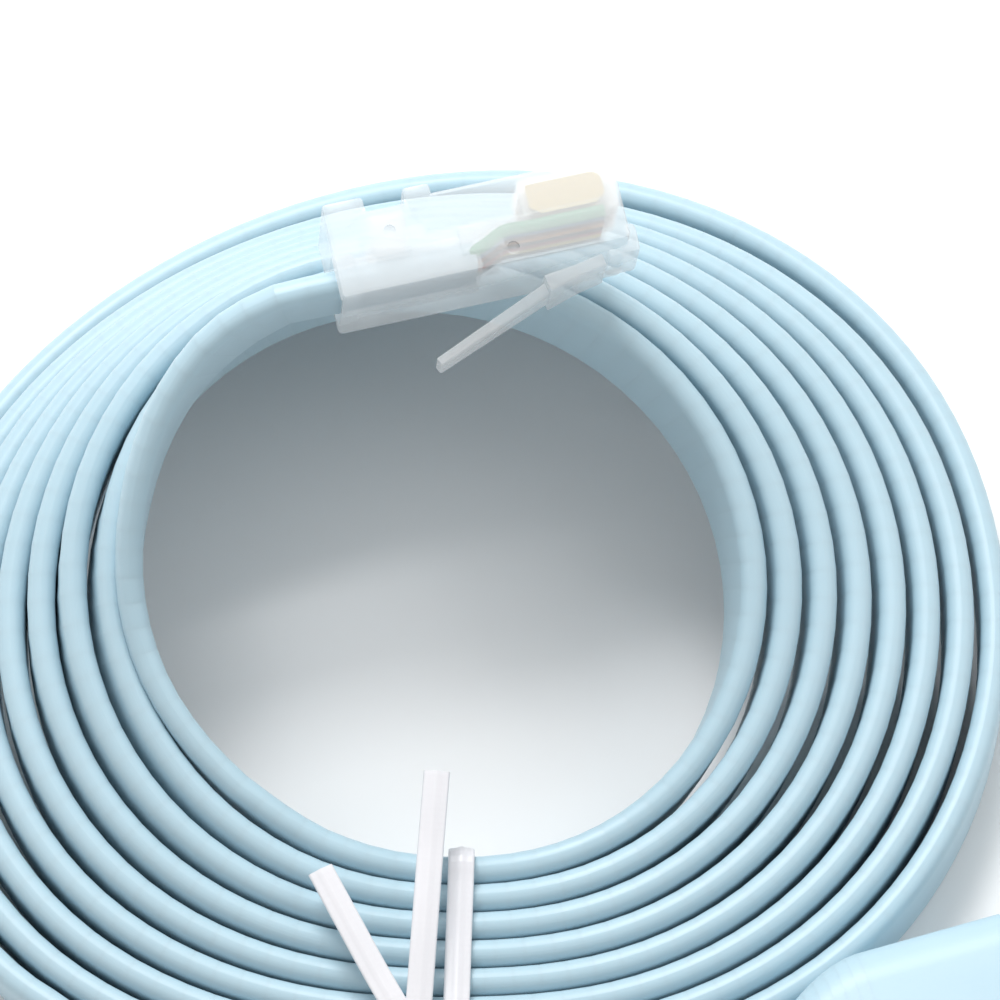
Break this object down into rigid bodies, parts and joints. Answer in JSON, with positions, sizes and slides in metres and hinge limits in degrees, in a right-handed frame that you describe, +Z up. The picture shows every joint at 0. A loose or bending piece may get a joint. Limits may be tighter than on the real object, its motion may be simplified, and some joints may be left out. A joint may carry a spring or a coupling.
{
  "type": "rj45 console cable",
  "caption": "Flat light-blue console cable wound on edge into a roll, with a clear modular plug, a D connector with thumbscrews, and a twist tie.",
  "frame": {"origin": "the middle of the whole cable's outline, on the floor that it lies on", "axes": "+Z up; +Y to the back of the roll, where the modular plug lies; +X to the right, the way the plug's nose and the D connector point"},
  "size_m": [0.1122, 0.0966, 0.0385],
  "materials": {
    "jacket": "satin soft vinyl, pale ice blue",
    "clear_plastic": "clear moulded polycarbonate, glossy",
    "gold_plate": "bright gold plate",
    "tie_plastic": "white vinyl over a wire, slightly glossy",
    "hood_plastic": "moulded satin vinyl, pale ice blue",
    "plated_steel": "nickel-plated steel, satin",
    "insulator_plastic": "moulded black plastic",
    "wire_blue": "soft insulation",
    "wire_orange": "soft insulation",
    "wire_black": "soft insulation",
    "wire_red": "soft insulation",
    "wire_green": "soft insulation",
    "wire_yellow": "soft insulation",
    "wire_brown": "soft insulation",
    "wire_grey": "soft insulation"
  },
  "bodies": {
    "cable": {"coiled_cable": "jacket", "inner_lead": "jacket", "outer_lead": "jacket", "twist_tie": "tie_plastic", "plug_body": "clear_plastic", "contact_1": "gold_plate", "wire_1": "wire_grey", "contact_2": "gold_plate", "wire_2": "wire_yellow", "contact_3": "gold_plate", "wire_3": "wire_red", "contact_4": "gold_plate", "wire_4": "wire_black", "contact_5": "gold_plate", "wire_5": "wire_orange", "contact_6": "gold_plate", "wire_6": "wire_brown", "contact_7": "gold_plate", "wire_7": "wire_blue", "contact_8": "gold_plate", "wire_8": "wire_green", "connector_hood": "hood_plastic", "connector_shell": "plated_steel", "connector_insulator": "insulator_plastic", "socket_1": "gold_plate", "socket_2": "gold_plate", "socket_3": "gold_plate", "socket_4": "gold_plate", "socket_5": "gold_plate", "socket_6": "gold_plate", "socket_7": "gold_plate", "socket_8": "gold_plate", "socket_9": "gold_plate"},
    "latch": {"plug_latch": "clear_plastic"},
    "left_screw": {"thumbscrew_left": "plated_steel"},
    "right_screw": {"thumbscrew_right": "plated_steel"}
  },
  "joints": [
    {"name": "latch_flex", "type": "hinge", "parent": "cable", "child": "latch", "pos_m": [-0.00061, 0.02816, 0.03121], "axis": [0.0463, -0.1957, 0.9796], "range_deg": [-9, 0], "stiffness_Nm_per_rad": 0.05},
    {"name": "left_screw_turn", "type": "hinge", "parent": "cable", "child": "left_screw", "pos_m": [0.0421, -0.01418, 0.00761], "axis": [0.9588, 0.284, 0], "continuous": true},
    {"name": "right_screw_turn", "type": "hinge", "parent": "cable", "child": "right_screw", "pos_m": [0.0492, -0.03816, 0.00761], "axis": [0.9588, 0.284, 0], "continuous": true}
  ]
}
